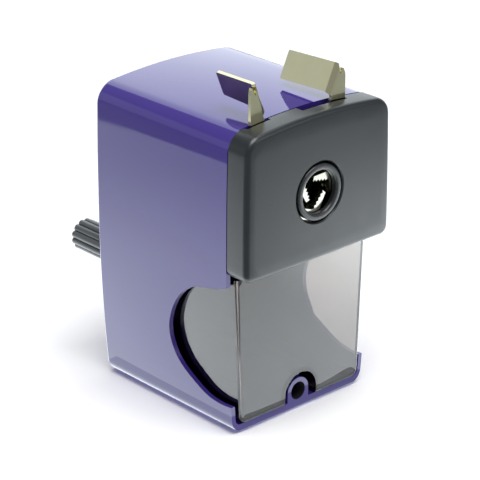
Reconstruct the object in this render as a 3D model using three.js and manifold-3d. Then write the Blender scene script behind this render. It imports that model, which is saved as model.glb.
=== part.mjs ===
// Desk pencil sharpener with a crank: a moulded housing, a sliding front
// carriage with a three-jaw chuck, a planetary helical cutter and a drawer.
// Millimetres, +Z up. The front faces -Y and X = 0 is the middle plane.
import * as THREE from 'three';
import { mergeVertices } from 'three/addons/utils/BufferGeometryUtils.js';
import Module from 'manifold-3d';

const wasm = await Module();
wasm.setup();

// ---- driving dimensions -------------------------------------------------
// Depths are counted from the housing's front rim, towards the back.
const GAP = 0.3;                 // assembly gap between touching pieces
const FOOT_HEIGHT = 0.7;         // rubber feet below the housing
const HOUSING_TOP = 113.3;
const HOUSING_DEPTH = 68;
const HOUSING_HALF_WIDTH = 34;   // at the widest height of the bowed sides
const WIDEST_Z = 63.3;
const SIDE_BOW_RADIUS = 650;
const TOP_CROWN_RADIUS = 240;
const WALL = 1.8;
const FLOOR_TOP = 3.3;
const AXIS_Z = 84.9;             // pencil, chuck and crank axis

const FACE_FRONT = -9.5;         // carriage face plate
const FACE_BOTTOM = 61.1;
const FACE_WALL = 1.9;
const BEZEL_RADIUS = 11.2;
const PENCIL_HOLE_RADIUS = 7.75;

const ROD_X = 26.5;              // carriage guide rods and their springs
const ROD_Z = 69.3;
const ROD_RADIUS = 1.5;
const ROD_REAR = 58;

const JAW_COUNT = 3;             // three-jaw chuck
const JAW_PIVOT_RADIUS = 19;
const JAW_PIN_RADIUS = 8.9;      // radius at which the cam ring drives a jaw
const JAW_FIRST_ANGLE = -10;
const JAW_GRIP = 3.2;            // closed jaws leave a space of this inner radius

const LEVER_SHEET = 1.2;
const MOVING_LEVER_Y = -3.0;     // front faces of the two lever sheets
const FIXED_LEVER_Y = -1.2;

const BULKHEAD_FRONT = 1.6;
const BULKHEAD_REAR = 3.8;
const RING_TEETH = 40;
const PINION_TEETH = 12;
const TOOTH_MODULE = 0.75;
const CUTTER_TILT = 10;          // degrees between the cutter and the pencil
const CUTTER_RADIUS = 5.2;
const PINION_Y = 16.9;           // middle of the gear mesh
const CUTTER_FRONT = 18.7;
const CUTTER_REAR = 46;
const SHAFT_RADIUS = 3;

const CRANK_FRONT = 71.4;
const CRANK_REAR = 75.2;
const KNOB_X = -18.9;            // crank pin, measured from the axis
const KNOB_DROP = -42.2;
const KNOB_REAR = 95;
const KNOB_RADIUS = 6.1;

const DRAWER_FRONT = -1.4;
const DRAWER_REAR = 61.5;
const DRAWER_BOTTOM = 3.6;
const DRAWER_TOP = 58.6;
const SOCKET_Z = 6.9;            // desk clamp socket
const SOCKET_BORE = 3.35;
const SOCKET_RADIUS = 5;
const SOCKET_DEPTH = 45;

const radians = THREE.MathUtils.degToRad;

// ---- solids -------------------------------------------------------------
// Merged triangles without slivers, turned so that the faces point out.
function tidy(geometry) {
  let source = geometry.index ? geometry : mergeVertices(geometry);
  source = source.clone();
  source.deleteAttribute('normal');
  source.deleteAttribute('uv');
  const merged = mergeVertices(source, 1e-4);
  const corners = merged.index.array;
  const kept = [];
  for (let i = 0; i < corners.length; i += 3) {
    const [a, b, c] = [corners[i], corners[i + 1], corners[i + 2]];
    if (a !== b && b !== c && c !== a) kept.push(a, b, c);
  }
  merged.setIndex(kept);
  if (signedVolume(merged) < 0) {
    for (let i = 0; i < kept.length; i += 3) [kept[i], kept[i + 1]] = [kept[i + 1], kept[i]];
    merged.setIndex(kept);
  }
  return merged;
}

function signedVolume(geometry) {
  const place = geometry.attributes.position;
  const [a, b, c] = [new THREE.Vector3(), new THREE.Vector3(), new THREE.Vector3()];
  let volume = 0;
  for (let i = 0; i < geometry.index.count; i += 3) {
    a.fromBufferAttribute(place, geometry.index.getX(i));
    b.fromBufferAttribute(place, geometry.index.getX(i + 1));
    c.fromBufferAttribute(place, geometry.index.getX(i + 2));
    volume += a.dot(b.cross(c)) / 6;
  }
  return volume;
}

function toManifold(geometry) {
  const clean = tidy(geometry);
  return new wasm.Manifold(new wasm.Mesh({
    numProp: 3,
    vertProperties: new Float32Array(clean.attributes.position.array),
    triVerts: new Uint32Array(clean.index.array),
  }));
}

// The base joined with every `add` solid, then cut by every `cut` solid.
function combine(base, { add = [], cut = [], within = null }) {
  let solid = toManifold(base);
  for (const piece of add) solid = solid.add(toManifold(piece));
  if (within) solid = solid.intersect(toManifold(within));
  for (const piece of cut) solid = solid.subtract(toManifold(piece));
  const mesh = solid.getMesh();
  const geometry = new THREE.BufferGeometry();
  geometry.setAttribute('position', new THREE.BufferAttribute(mesh.vertProperties, 3));
  geometry.setIndex(new THREE.BufferAttribute(mesh.triVerts, 1));
  return geometry;
}

// An outline drawn in front view (x, z), pushed back from y0 to y1.
function prism(shape, y0, y1, segments = 6) {
  const options = { depth: y1 - y0, bevelEnabled: false, curveSegments: segments };
  return new THREE.ExtrudeGeometry(shape, options).rotateX(Math.PI / 2).translate(0, y1, 0);
}

function box(x0, x1, y0, y1, z0, z1) {
  const block = new THREE.BoxGeometry(x1 - x0, y1 - y0, z1 - z0);
  return block.translate((x0 + x1) / 2, (y0 + y1) / 2, (z0 + z1) / 2);
}

// A round bar along Y, with its middle line at (x, z).
function bar(radius, y0, y1, x = 0, z = AXIS_Z, segments = 24) {
  const cylinder = new THREE.CylinderGeometry(radius, radius, y1 - y0, segments);
  return cylinder.translate(x, (y0 + y1) / 2, z);
}

// A closed profile of [radius, y] points, turned round the Y axis at (x, z).
function turned(profile, segments = 32, x = 0, z = AXIS_Z) {
  const points = [...profile, profile[0]].map(([r, y]) => new THREE.Vector2(r, y));
  return new THREE.LatheGeometry(points, segments).translate(x, 0, z);
}

function tube(inner, outer, y0, y1, x = 0, z = AXIS_Z, segments = 24) {
  return turned([[inner, y0], [outer, y0], [outer, y1], [inner, y1]], segments, x, z);
}

function outline(points) {
  return new THREE.Shape(points.map(([x, z]) => new THREE.Vector2(x, z)));
}

function polar(radius, degrees) {
  return [radius * Math.cos(radians(degrees)), radius * Math.sin(radians(degrees))];
}

function arcPoints([x, z], radius, from, to, steps) {
  const points = [];
  for (let i = 0; i <= steps; i += 1) {
    const [dx, dz] = polar(radius, from + ((to - from) * i) / steps);
    points.push([x + dx, z + dz]);
  }
  return points;
}

// ---- colours ------------------------------------------------------------
const finish = (color, roughness, metalness) => () =>
  new THREE.MeshStandardMaterial({ color, roughness, metalness });
const VIOLET_ABS = finish(0x4b3c96, 0.2, 0);
const BLACK_ABS = finish(0x3a3d40, 0.5, 0);
const SMOKE_STYRENE = finish(0x84898e, 0.15, 0);
const NICKEL = finish(0xc4bf9c, 0.2, 1);
const STEEL = finish(0xb4b6b8, 0.35, 1);
const ACETAL = finish(0xd8d6cc, 0.5, 0);
const BRONZE = finish(0xa8834a, 0.4, 1);
const RUBBER = finish(0x222222, 0.9, 0);

// ---- housing outline ----------------------------------------------------
const sideX = (z) => HOUSING_HALF_WIDTH - (z - WIDEST_Z) ** 2 / (2 * SIDE_BOW_RADIUS);
const crownZ = (x) => HOUSING_TOP - x ** 2 / (2 * TOP_CROWN_RADIUS);

// Front view of the bowed, crowned body, drawn `inset` inside its skin.
function bodyOutline({ inset = 0, bottom, bottomRadius, topRadius }) {
  const lowX = sideX(bottom + bottomRadius) - inset;
  const lowCentre = [lowX - bottomRadius, bottom + bottomRadius];
  const topX = sideX(HOUSING_TOP - topRadius) - inset;
  const topCentre = [topX - topRadius, crownZ(topX - topRadius) - inset - topRadius];
  const right = arcPoints(lowCentre, bottomRadius, -90, 0, 4);
  for (let i = 1; i < 6; i += 1) {
    const z = lowCentre[1] + ((topCentre[1] - lowCentre[1]) * i) / 6;
    right.push([sideX(z) - inset, z]);
  }
  right.push(...arcPoints(topCentre, topRadius, 0, 88, 5));
  for (let i = 1; i <= 3; i += 1) {
    const x = (topCentre[0] * (3 - i)) / 3;
    right.push([x, crownZ(x) - inset]);
  }
  const left = right.slice(0, -1).reverse().map(([x, z]) => [-x, z]);
  return outline([...right, ...left]);
}

// ---- housing ------------------------------------------------------------
// Side window, as [depth, height] points round its open D shape.
function windowShape() {
  const shape = new THREE.Shape();
  shape.moveTo(-5, 56.8);
  shape.lineTo(0, 56.5);
  shape.splineThru([[9.4, 53.8], [18.2, 50.9], [26.2, 43.6], [30.5, 31.7], [26.6, 20.7],
    [15.3, 12.9], [7.3, 10.7], [0, 11]].map(([y, z]) => new THREE.Vector2(y, z)));
  shape.lineTo(-5, 11);
  return shape;
}

function windowCut(side) {
  const cut = new THREE.ExtrudeGeometry(windowShape(), {
    depth: 20, bevelEnabled: false, curveSegments: 3 });
  // Drawn in (x, y), the window turns into the (y, z) plane of a side wall.
  cut.applyMatrix4(new THREE.Matrix4().makeBasis(
    new THREE.Vector3(0, 1, 0), new THREE.Vector3(0, 0, 1), new THREE.Vector3(1, 0, 0)));
  return cut.translate(side > 0 ? 22 : -42, 0, 0);
}

const SCREW_POST = { x: 26.5, z: 105.5, y0: 4.2, y1: 16 };
const CAP_HOLE_RADIUS = 20.6;
const CAP_SCREW_RADIUS = 22.4;

function housingShell() {
  const outer = prism(bodyOutline({ bottom: FOOT_HEIGHT, bottomRadius: 4.5, topRadius: 7 }),
    0, HOUSING_DEPTH);
  const hollow = prism(bodyOutline({ inset: WALL, bottom: FLOOR_TOP, bottomRadius: 2,
    topRadius: 5.5 }), -1, HOUSING_DEPTH - 2);
  const shell = combine(outer, { cut: [hollow, windowCut(1), windowCut(-1)] });
  const posts = [-1, 1].map((side) => box(
    Math.min(side * 22.5, side * 33), Math.max(side * 22.5, side * 33),
    SCREW_POST.y0, SCREW_POST.y1, 101.5, 112));
  const socket = [
    bar(SOCKET_RADIUS, 0, SOCKET_DEPTH, 0, SOCKET_Z, 28),
    box(-SOCKET_RADIUS, SOCKET_RADIUS, 0, SOCKET_DEPTH, 2, SOCKET_Z),
  ];
  const cuts = [
    bar(SOCKET_BORE, -1, SOCKET_DEPTH - 3, 0, SOCKET_Z, 28),
    bar(CAP_HOLE_RADIUS, HOUSING_DEPTH - 4, HOUSING_DEPTH + 1, 0, AXIS_Z, 48),
    ...[-1, 1].map((side) => bar(0.9, SCREW_POST.y0 - 1, 14, side * SCREW_POST.x,
      SCREW_POST.z, 12)),
    ...[-1, 1].map((side) => bar(1, HOUSING_DEPTH - 4, HOUSING_DEPTH + 1,
      side * CAP_SCREW_RADIUS, AXIS_Z, 12)),
  ];
  return combine(shell, { add: [...posts, ...socket], within: outer, cut: cuts });
}

// ---- fixed inner frame, ring gear and rear bearing ----------------------
function mechanismFrame() {
  const plate = prism(bodyOutline({ inset: WALL + GAP + 0.1, bottom: 61.5, bottomRadius: 2,
    topRadius: 5 }), BULKHEAD_FRONT, BULKHEAD_REAR);
  const sleeve = tube(18.7, 20.6, BULKHEAD_REAR - 0.2, 19.2, 0, AXIS_Z, 40);
  const guide = tube(5.4, 7, BULKHEAD_REAR - 0.2, 11.4);
  const bushes = [-1, 1].map((side) => bar(3.2, BULKHEAD_REAR - 0.2, 5.2, side * ROD_X, ROD_Z));
  const postCuts = [-1, 1].map((side) => bar(1.3, 0, 6, side * SCREW_POST.x, SCREW_POST.z, 16));
  const rodCuts = [-1, 1].map((side) => bar(ROD_RADIUS + 0.2, 0, 6, side * ROD_X, ROD_Z, 20));
  // The sleeve is open below, where the shavings fall into the drawer.
  const chute = box(-11, 11, BULKHEAD_REAR, 30, AXIS_Z - 24, AXIS_Z - 9);
  return combine(plate, {
    add: [sleeve, guide, ...bushes],
    cut: [bar(5.4, 0, 6), ...postCuts, ...rodCuts, chute],
  });
}

// Trapezoid teeth round a pitch circle. A negative height points them inwards.
function toothedOutline(teeth, pitchRadius, height, phase) {
  const step = 360 / teeth;
  const tipShare = 0.1;
  const rootShare = 0.29;
  const points = [];
  for (let i = 0; i < teeth; i += 1) {
    const middle = phase + i * step;
    points.push(polar(pitchRadius - height * 1.15, middle - rootShare * step));
    points.push(polar(pitchRadius + height, middle - tipShare * step));
    points.push(polar(pitchRadius + height, middle + tipShare * step));
    points.push(polar(pitchRadius - height * 1.15, middle + rootShare * step));
  }
  return points;
}

const TOOTH_HEIGHT = 0.6;
const RING_PITCH = (RING_TEETH * TOOTH_MODULE) / 2;
const PINION_PITCH = (PINION_TEETH * TOOTH_MODULE) / 2;

function ringGear() {
  const shape = outline(arcPoints([0, 0], 18.3, 0, 351, 39));
  const phase = 180 / RING_TEETH;
  const teeth = toothedOutline(RING_TEETH, RING_PITCH, -TOOTH_HEIGHT, phase);
  shape.holes.push(outline(teeth.reverse()));
  return prism(shape, PINION_Y - 1.3, PINION_Y + 1.3).translate(0, 0, AXIS_Z);
}

const FLANGE_REAR = 69.8;

function rearBearingCap() {
  const profile = [[5.1, 58], [7.6, 58], [7.6, 65.8], [18.4, 65.8], [18.4, 56], [20.2, 56],
    [20.2, 68.3], [24.4, 68.3], [24.4, FLANGE_REAR], [5.1, FLANGE_REAR]];
  const holes = [-1, 1].map((side) => bar(1.2, 67, 71, side * CAP_SCREW_RADIUS, AXIS_Z, 16));
  return combine(turned(profile, 40), { cut: holes });
}

const bearingBush = () => tube(SHAFT_RADIUS + 0.15, 4.8, 58.2, FLANGE_REAR + 0.4);

// A pan-head screw: head outside, shank going the other way.
function screw(headFront, headRear, tip, headRadius, shankRadius, x, z) {
  const towardRear = tip > headRear;
  const root = towardRear ? headRear : headFront;
  const outer = towardRear ? headFront : headRear;
  const profile = [[0, outer], [headRadius * 0.8, outer], [headRadius, (outer + root) / 2],
    [headRadius, root], [shankRadius, root], [shankRadius, tip], [0, tip]];
  return turned(profile, 16, x, z);
}

// A plain sleeve fills the space of each coil spring.
const feedSpring = (side) => tube(2.2, 3, 5.5, 55.4, side * ROD_X, ROD_Z, 16);

const FOOT_RADIUS = 4;

function foot(side, y) {
  const disc = new THREE.CylinderGeometry(FOOT_RADIUS, FOOT_RADIUS - 0.3, FOOT_HEIGHT - 0.05, 20);
  return disc.rotateX(Math.PI / 2).translate(side * 23.5, y, (FOOT_HEIGHT - 0.05) / 2);
}

// ---- carriage -----------------------------------------------------------
const CHUCK_SCREWS = [[23, 170], [20, 290], [23, 40]].map(([r, a]) => polar(r, a));
const FACE_REAR = -0.3;

function faceplate() {
  const shape = { inset: 0.4, bottom: FACE_BOTTOM, bottomRadius: 3.5, topRadius: 6 };
  const hollow = { inset: 0.4 + FACE_WALL, bottom: FACE_BOTTOM + FACE_WALL, bottomRadius: 1.6,
    topRadius: 4.1 };
  const outer = prism(bodyOutline(shape), FACE_FRONT, FACE_REAR);
  const inner = prism(bodyOutline(hollow), FACE_FRONT + FACE_WALL, 1);
  const wallRear = FACE_FRONT + FACE_WALL;
  const bosses = [
    ...CHUCK_SCREWS.map(([x, z]) => bar(3, wallRear - 0.3, -1.5, x, AXIS_Z + z)),
    ...[-1, 1].map((side) => bar(3.5, wallRear - 0.3, FACE_REAR - 0.3, side * ROD_X, ROD_Z)),
  ];
  const pinHoles = jawAngles().map((angle) => {
    const [x, z] = polar(JAW_PIVOT_RADIUS, angle);
    return bar(1.4, FACE_FRONT + 0.8, -7, x, AXIS_Z + z, 16);
  });
  const cuts = [
    bar(BEZEL_RADIUS + GAP, FACE_FRONT - 1, -7, 0, AXIS_Z, 40),
    ...pinHoles,
    ...CHUCK_SCREWS.map(([x, z]) => bar(1, -6.5, 0, x, AXIS_Z + z, 12)),
    ...[-1, 1].map((side) => bar(ROD_RADIUS + 0.2, -5.2, 1, side * ROD_X, ROD_Z, 20)),
    // Slots in the top wall: a wide one for the moving lever's swing.
    prism(outline([[-3.5, 100], [18.2, 100], [18.2, 116], [-2.8, 116]]), MOVING_LEVER_Y - 0.7, 1),
    box(-26.2, -15.6, FIXED_LEVER_Y - 0.5, 1, 100, 116),
  ];
  return combine(combine(outer, { cut: [inner] }), { add: bosses, cut: cuts });
}

// The rounded ring round the pencil hole, dished from its crest inwards.
function pencilBezel() {
  const crest = arcPoints([9.5, FACE_FRONT + 1.55], 1.5, 0, -180, 6);
  const profile = [[BEZEL_RADIUS, -7.7], [BEZEL_RADIUS, -8.3], ...crest,
    [PENCIL_HOLE_RADIUS, -7.7]];
  return turned(profile, 36);
}

// Sheet lever: arm, leg that shows above the slot, and a pad bent to the back.
// `base` holds the leg's inner and outer foot; `lean` is the slope of its fold.
function leverSheet(side, front, { base, top, outerX, lean, padRear, padBottom, arm }) {
  const slope = Math.tan(radians(lean));
  const foldX = (z) => base.inner + (z - base.z) * slope;
  const legTop = [[outerX - 2.6, top], [outerX - 0.8, top - 1.2], [outerX, top - 3.6]];
  const leg = outline([[base.inner, base.z], [foldX(top - 0.5), top - 0.5], ...legTop,
    [outerX, base.z], ...arm].map(([x, z]) => [side * x, z]));
  const pad = outline([[foldX(padBottom), padBottom], [foldX(top - 0.5), top - 0.5],
    [foldX(top - 0.5) + LEVER_SHEET * 1.1, top - 0.5], [foldX(padBottom) + LEVER_SHEET * 1.1,
      padBottom]].map(([x, z]) => [side * x, z]));
  return {
    leg: prism(leg, front, front + LEVER_SHEET).translate(0, 0, AXIS_Z),
    pad: prism(pad, front, padRear).translate(0, 0, AXIS_Z),
  };
}

const CAM_RING_OUTER = 14.5;
const CAM_RING_INNER = 7.9;

function releaseLever() {
  const { leg, pad } = leverSheet(1, MOVING_LEVER_Y, {
    base: { inner: 8.4, z: 28 }, top: 38.6, outerX: 17.5, lean: 27, padRear: 20,
    padBottom: 29.6, arm: [[16.8, 24], [9.4, 9.8], [2.2, 13.4]],
  });
  const ring = tube(CAM_RING_INNER, CAM_RING_OUTER, MOVING_LEVER_Y,
    MOVING_LEVER_Y + LEVER_SHEET, 0, AXIS_Z, 40);
  const notch = box(0, JAW_PIN_RADIUS + 2.4, -5, 0, -1.3, 1.3);
  const notches = jawAngles().map((angle) =>
    notch.clone().rotateY(-radians(angle)).translate(0, 0, AXIS_Z));
  const clear = bar(CAM_RING_INNER, -5, 0, 0, AXIS_Z, 40);
  return combine(ring, { add: [leg, pad], cut: [clear, ...notches] });
}

function fixedLever() {
  const { leg, pad } = leverSheet(-1, FIXED_LEVER_Y, {
    base: { inner: 17.0, z: 27.5 }, top: 40.4, outerX: 25.5, lean: 22, padRear: 18.5,
    padBottom: 29.8, arm: [[25, 24.5], [11.1, 7.9], [4.8, 12.7], [16.3, 24]],
  });
  const rear = FIXED_LEVER_Y + LEVER_SHEET - 0.1;
  const disc = bar(15, FIXED_LEVER_Y, rear, 0, AXIS_Z, 40);
  const collar = bar(7.5, MOVING_LEVER_Y - 0.4, rear, 0, AXIS_Z, 40);
  const ears = CHUCK_SCREWS.map(([x, z]) => {
    const angle = Math.atan2(z, x);
    const reach = Math.hypot(x, z);
    const strip = box(0, reach, FIXED_LEVER_Y, rear, -3, 3).rotateY(-angle);
    return combine(strip.translate(0, 0, AXIS_Z), {
      add: [bar(3, FIXED_LEVER_Y, rear, x, AXIS_Z + z, 20)] });
  });
  const cuts = [
    bar(6.4, -6, 1, 0, AXIS_Z, 32),
    ...CHUCK_SCREWS.map(([x, z]) => bar(1.2, -3, 1, x, AXIS_Z + z, 12)),
  ];
  return combine(disc, { add: [collar, leg, pad, ...ears], cut: cuts });
}

function jawAngles() {
  return Array.from({ length: JAW_COUNT }, (_, i) => JAW_FIRST_ANGLE + (360 / JAW_COUNT) * i);
}

// One jaw, drawn with its pivot on +X: serrated edge, body and drive pin.
function jaw(angle) {
  const teeth = 5;
  const pitch = 1.5;
  const edge = [];
  for (let i = 0; i < teeth; i += 1) {
    const x = -1.6 + i * pitch;
    edge.push([x, JAW_GRIP], [x + pitch / 2, JAW_GRIP + 0.7]);
  }
  const body = outline([...edge, [-1.6 + teeth * pitch, JAW_GRIP], [7.6, -1.5],
    [JAW_PIN_RADIUS + 1, -1.9], [JAW_PIVOT_RADIUS - 2, -2.6],
    ...arcPoints([JAW_PIVOT_RADIUS, 0], 3, -60, 60, 6), [12, 5.2], [4, 6.2], [-1.6, 5]]);
  const plate = prism(body, -7.2, -5.2);
  const drivePin = bar(0.9, -5.4, -1.6, JAW_PIN_RADIUS, 0, 12);
  const pivotHole = bar(1.35, -8, -4, JAW_PIVOT_RADIUS, 0, 16);
  const solid = combine(plate, { add: [drivePin], cut: [pivotHole] });
  return solid.rotateY(-radians(angle)).translate(0, 0, AXIS_Z);
}

function jawPin(angle) {
  const [x, z] = polar(JAW_PIVOT_RADIUS, angle);
  return turned([[0, FACE_FRONT + 1], [1.2, FACE_FRONT + 1], [1.2, -4.9], [2.3, -4.9],
    [2.3, -4.2], [0, -4.2]], 16, x, AXIS_Z + z);
}

const leverSpring = () => turned([[1, -12.2], [1.5, -12.2], [1.5, 4.8], [1, 4.8]], 16, 0, 0)
  .rotateZ(-Math.PI / 2).translate(0, -2.2, AXIS_Z + 22);

// ---- crank, carrier and cutter ------------------------------------------
const MESH_OFFSET = RING_PITCH - PINION_PITCH;
const tilt = radians(CUTTER_TILT);

// Cutter-axis solids are drawn along Y at the origin, then leaned into place.
function leaned(geometry) {
  return geometry.rotateX(-tilt).translate(0, PINION_Y, AXIS_Z + MESH_OFFSET);
}

const along = (y) => (y - PINION_Y) / Math.cos(tilt);

function cutterCarrier() {
  const frontDisc = tube(5.2, 13.6, 12, 14.8, 0, AXIS_Z, 32);
  const rearDisc = bar(8.6, 46.9, 49.8, 0, AXIS_Z, 28);
  const shaft = bar(SHAFT_RADIUS, 49.6, 78, 0, AXIS_Z, 24);
  // Half of a cone carries the pencil point against the cutter.
  const cone = combine(turned([[5.4, 14.6], [8, 14.6], [3.2, 47.2], [0.8, 47.2]], 28), {
    cut: [box(-15, 15, 10, 50, AXIS_Z - 1, AXIS_Z + 15)] });
  const rails = [-1, 1].map((side) => {
    const rail = outline([[9, 14.4], [12.2, 14.4], [8.3, 47.2], [6.3, 47.2]]
      .map(([x, y]) => [side * x, y]));
    return new THREE.ExtrudeGeometry(rail, { depth: 5, bevelEnabled: false })
      .translate(0, 0, AXIS_Z - 5);
  });
  const webs = [-1, 1].map((side) => box(Math.min(0, side * 9), Math.max(0, side * 9), 43, 47.2,
    AXIS_Z - 5, AXIS_Z - 1));
  const axleHole = leaned(bar(1.45, along(8), along(52), 0, 0, 20));
  return combine(frontDisc, {
    add: [rearDisc, shaft, cone, ...rails, ...webs],
    cut: [axleHole, bar(0.9, 40, 60)],
  });
}

const cutterAxle = () => leaned(bar(1.2, along(12.3), along(49.4), 0, 0, 16));

// Helical teeth: a toothed bar twisted along its length.
function helicalCutter() {
  const shape = outline(toothedOutline(14, CUTTER_RADIUS - 0.35, 0.35, 0));
  shape.holes.push(outline(arcPoints([0, 0], 1.4, 0, -337.5, 15)));
  const length = along(CUTTER_REAR) - along(CUTTER_FRONT);
  const solid = new THREE.ExtrudeGeometry(shape, {
    depth: length, steps: 6, bevelEnabled: false }).rotateX(Math.PI / 2);
  const place = solid.attributes.position;
  const twist = radians(70);
  for (let i = 0; i < place.count; i += 1) {
    const turn = (twist * place.getY(i)) / length;
    const [x, z] = [place.getX(i), place.getZ(i)];
    place.setX(i, x * Math.cos(turn) - z * Math.sin(turn));
    place.setZ(i, x * Math.sin(turn) + z * Math.cos(turn));
  }
  return leaned(solid.translate(0, along(CUTTER_REAR), 0));
}

function cutterPinion() {
  const shape = outline(toothedOutline(PINION_TEETH, PINION_PITCH, TOOTH_HEIGHT, 90));
  shape.holes.push(outline(arcPoints([0, 0], 1.4, 0, -337.5, 15)));
  return leaned(prism(shape, -1.2, 1.2));
}

function crankArm() {
  const reach = Math.hypot(KNOB_X, KNOB_DROP);
  const hub = 8.5;
  const tip = 6.6;
  const lean = THREE.MathUtils.radToDeg(Math.asin((hub - tip) / reach));
  // Drawn along +X: two end circles joined by their common tangents.
  const shape = outline([
    ...arcPoints([reach, 0], tip, -90 + lean, 90 - lean, 10),
    ...arcPoints([0, 0], hub, 90 - lean, 270 + lean, 14),
  ]);
  const blade = prism(shape, CRANK_FRONT, CRANK_REAR);
  const holes = [bar(SHAFT_RADIUS + 0.15, 70, 80, 0, 0, 24), bar(2.15, 70, 80, reach, 0, 16)];
  const arm = combine(blade, { cut: holes });
  return arm.rotateY(-Math.atan2(KNOB_DROP, KNOB_X)).translate(0, 0, AXIS_Z);
}

const crankNut = () => turned([[0, 78.3], [SHAFT_RADIUS + 0.15, 78.3],
  [SHAFT_RADIUS + 0.15, CRANK_REAR + 0.2], [5.2, CRANK_REAR + 0.2], [5.2, 78.6], [3.6, 80.2],
  [0, 80.8]], 24);

const knobPin = () => turned([[0, CRANK_FRONT + 0.2], [2, CRANK_FRONT + 0.2], [2, 92.8],
  [3.5, 92.8], [3.5, 94], [0, 94]], 20, KNOB_X, AXIS_Z + KNOB_DROP);

function knob() {
  const flutes = 12;
  const points = [];
  for (let i = 0; i < flutes * 4; i += 1) {
    const wave = Math.max(0, Math.cos((i * Math.PI) / 2));
    points.push(polar(KNOB_RADIUS - 0.9 * wave, (i * 90) / flutes));
  }
  const body = prism(outline(points), CRANK_REAR + 0.5, KNOB_REAR);
  const bores = [bar(2.15, 70, 99, 0, 0, 20), bar(3.9, 92.4, 99, 0, 0, 20)];
  return combine(body, { cut: bores }).translate(KNOB_X, 0, AXIS_Z + KNOB_DROP);
}

// ---- drawer -------------------------------------------------------------
// Front view of the drawer, `inset` inside its skin, notched over the socket.
function drawerOutline(inset, top) {
  const foot = 28.6 - inset;
  const head = 30.9 - inset;
  const bottom = DRAWER_BOTTOM + inset;
  const notch = 7.5 + inset;
  const arch = arcPoints([0, SOCKET_Z + 0.2], notch, 180, 0, 12);
  return outline([[-foot, bottom + 2], [-foot + 2, bottom], [-notch, bottom], ...arch,
    [notch, bottom], [foot - 2, bottom], [foot, bottom + 2], [head, top], [-head, top]]);
}

function drawer() {
  const outer = prism(drawerOutline(0, DRAWER_TOP), DRAWER_FRONT, DRAWER_REAR);
  const hollow = prism(drawerOutline(1.5, DRAWER_TOP + 5), DRAWER_FRONT + 1.8,
    DRAWER_REAR - 1.5);
  return combine(outer, { cut: [hollow] });
}

// ---- assembly -----------------------------------------------------------
const sharpener = new THREE.Group();
const middle = (KNOB_REAR + FACE_FRONT) / 2;
sharpener.position.set(0, -middle, 0);

function place(name, geometry, material) {
  const mesh = new THREE.Mesh(tidy(geometry), material());
  mesh.name = name;
  sharpener.add(mesh);
}

const SIDES = [['left', -1], ['right', 1]];

place('housing_shell', housingShell(), VIOLET_ABS);
place('mechanism_frame', mechanismFrame(), BLACK_ABS);
place('ring_gear', ringGear(), ACETAL);
place('rear_bearing_cap', rearBearingCap(), BLACK_ABS);
place('bearing_bush', bearingBush(), BRONZE);
for (const [name, side] of SIDES) {
  place(`frame_screw_${name}`, screw(0.4, 1.5, 12, 2.4, 0.8, side * SCREW_POST.x, SCREW_POST.z),
    STEEL);
  place(`cap_screw_${name}`, screw(69.9, 70.9, 67.2, 1.7, 0.9, side * CAP_SCREW_RADIUS, AXIS_Z),
    STEEL);
  place(`feed_spring_${name}`, feedSpring(side), STEEL);
  place(`guide_rod_${name}`, bar(ROD_RADIUS, -5, ROD_REAR, side * ROD_X, ROD_Z, 20), STEEL);
  place(`rod_clip_${name}`, tube(ROD_RADIUS + 0.1, 3.2, 55.7, 56.7, side * ROD_X, ROD_Z), STEEL);
  place(`foot_front_${name}`, foot(side, 8), RUBBER);
  place(`foot_rear_${name}`, foot(side, 60), RUBBER);
}

place('faceplate', faceplate(), BLACK_ABS);
place('pencil_bezel', pencilBezel(), BLACK_ABS);
place('fixed_lever', fixedLever(), NICKEL);
place('release_lever', releaseLever(), NICKEL);
place('lever_spring', leverSpring(), STEEL);
jawAngles().forEach((angle, i) => {
  place(`jaw_${i + 1}`, jaw(angle), STEEL);
  place(`jaw_pin_${i + 1}`, jawPin(angle), STEEL);
  const [x, z] = CHUCK_SCREWS[i];
  place(`chuck_screw_${i + 1}`, screw(0.05, 0.9, -6, 2, 0.8, x, AXIS_Z + z), STEEL);
});

place('cutter_carrier', cutterCarrier(), STEEL);
place('cutter_axle', cutterAxle(), STEEL);
place('helical_cutter', helicalCutter(), STEEL);
place('cutter_pinion', cutterPinion(), STEEL);
place('crank_arm', crankArm(), BLACK_ABS);
place('crank_nut', crankNut(), NICKEL);
place('knob_pin', knobPin(), STEEL);
place('knob', knob(), BLACK_ABS);
place('drawer', drawer(), SMOKE_STYRENE);

export default sharpener;
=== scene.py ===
"""Desk pencil sharpener: its finished shapes, materials, light and camera.

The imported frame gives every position. Lengths named ``_mm`` are millimetres and
are turned to metres where a mesh is made. The front of the sharpener faces -Y.
"""

import logging
import math
from dataclasses import dataclass, field
from enum import Enum
from typing import Callable, Iterable, Optional, Sequence

import bmesh
import bpy
from mathutils import Matrix, Vector

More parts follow.
